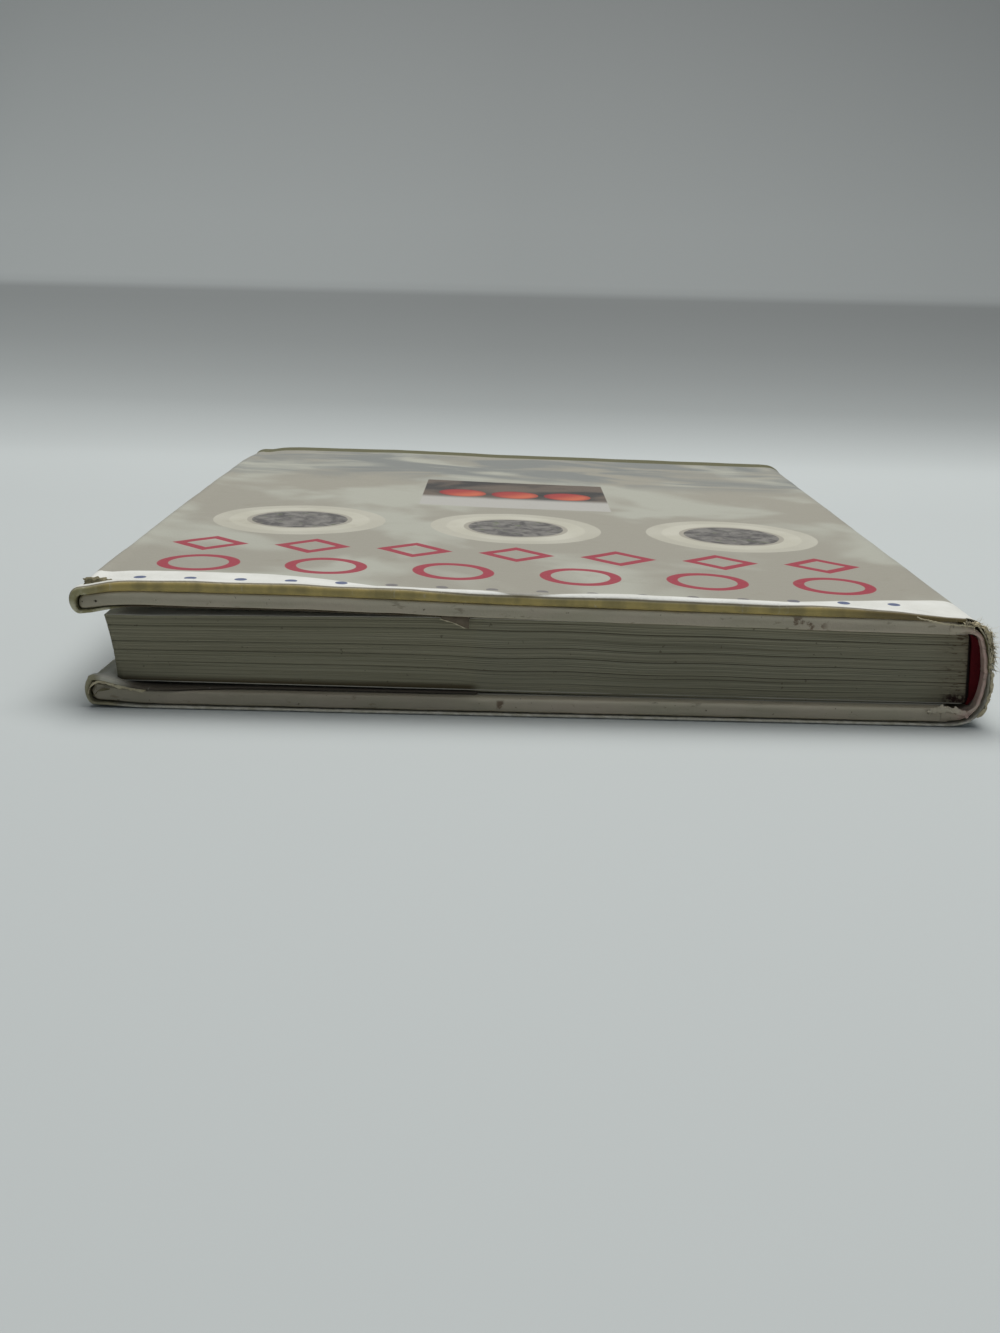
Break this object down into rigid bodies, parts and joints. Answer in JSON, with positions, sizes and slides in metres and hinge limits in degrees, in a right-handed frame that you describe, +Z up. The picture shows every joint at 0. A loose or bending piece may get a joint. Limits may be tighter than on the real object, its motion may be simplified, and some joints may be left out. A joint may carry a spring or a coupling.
{
  "type": "hardcover cookbook",
  "caption": "Large hardcover cookbook in a worn paper dust jacket, lying closed, with both covers hinged at the spine joints.",
  "frame": {"origin": "middle of the face that the back cover rests on, on the table", "axes": "+X from the fore-edge to the spine, +Y from the head of the pages to the tail, +Z up through the front cover"},
  "size_m": [0.2292, 0.2876, 0.033],
  "materials": {
    "page_edges": "matt",
    "endpaper": "matt",
    "grey_board": "matt",
    "case_paper": "satin",
    "dark_red_card": "matt",
    "kraft_lining": "matt",
    "jacket_paper": "satin",
    "print_pale": "satin",
    "print_blue": "satin",
    "print_red": "satin",
    "print_cream": "satin",
    "print_grey": "satin",
    "print_dark": "satin"
  },
  "bodies": {
    "book_block": {"text_block": "page_edges", "spine_lining": "kraft_lining", "front_flyleaf": "endpaper", "back_flyleaf": "endpaper", "spine_inlay": "dark_red_card", "spine_covering": "case_paper", "jacket_spine": "jacket_paper"},
    "front_cover": {"front_board": "grey_board", "front_covering": "case_paper", "front_pastedown": "endpaper", "jacket_front": "jacket_paper", "print_pale_band": "print_pale", "print_blue_dots": "print_blue", "print_red_rings": "print_red", "print_red_lozenges": "print_red", "print_plates": "print_cream", "print_servings": "print_grey", "print_picture": "print_dark", "print_fruit": "print_red"},
    "back_cover": {"back_board": "grey_board", "back_covering": "case_paper", "back_pastedown": "endpaper", "jacket_back": "jacket_paper"}
  },
  "joints": [
    {"name": "front_cover_hinge", "type": "hinge", "parent": "book_block", "child": "front_cover", "pos_m": [0.1128, 0, 0.0233], "axis": [0, 1, 0], "range_deg": [0, 180]},
    {"name": "back_cover_hinge", "type": "hinge", "parent": "book_block", "child": "back_cover", "pos_m": [0.1128, 0, 0.0047], "axis": [0, -1, 0], "range_deg": [0, 180]}
  ]
}
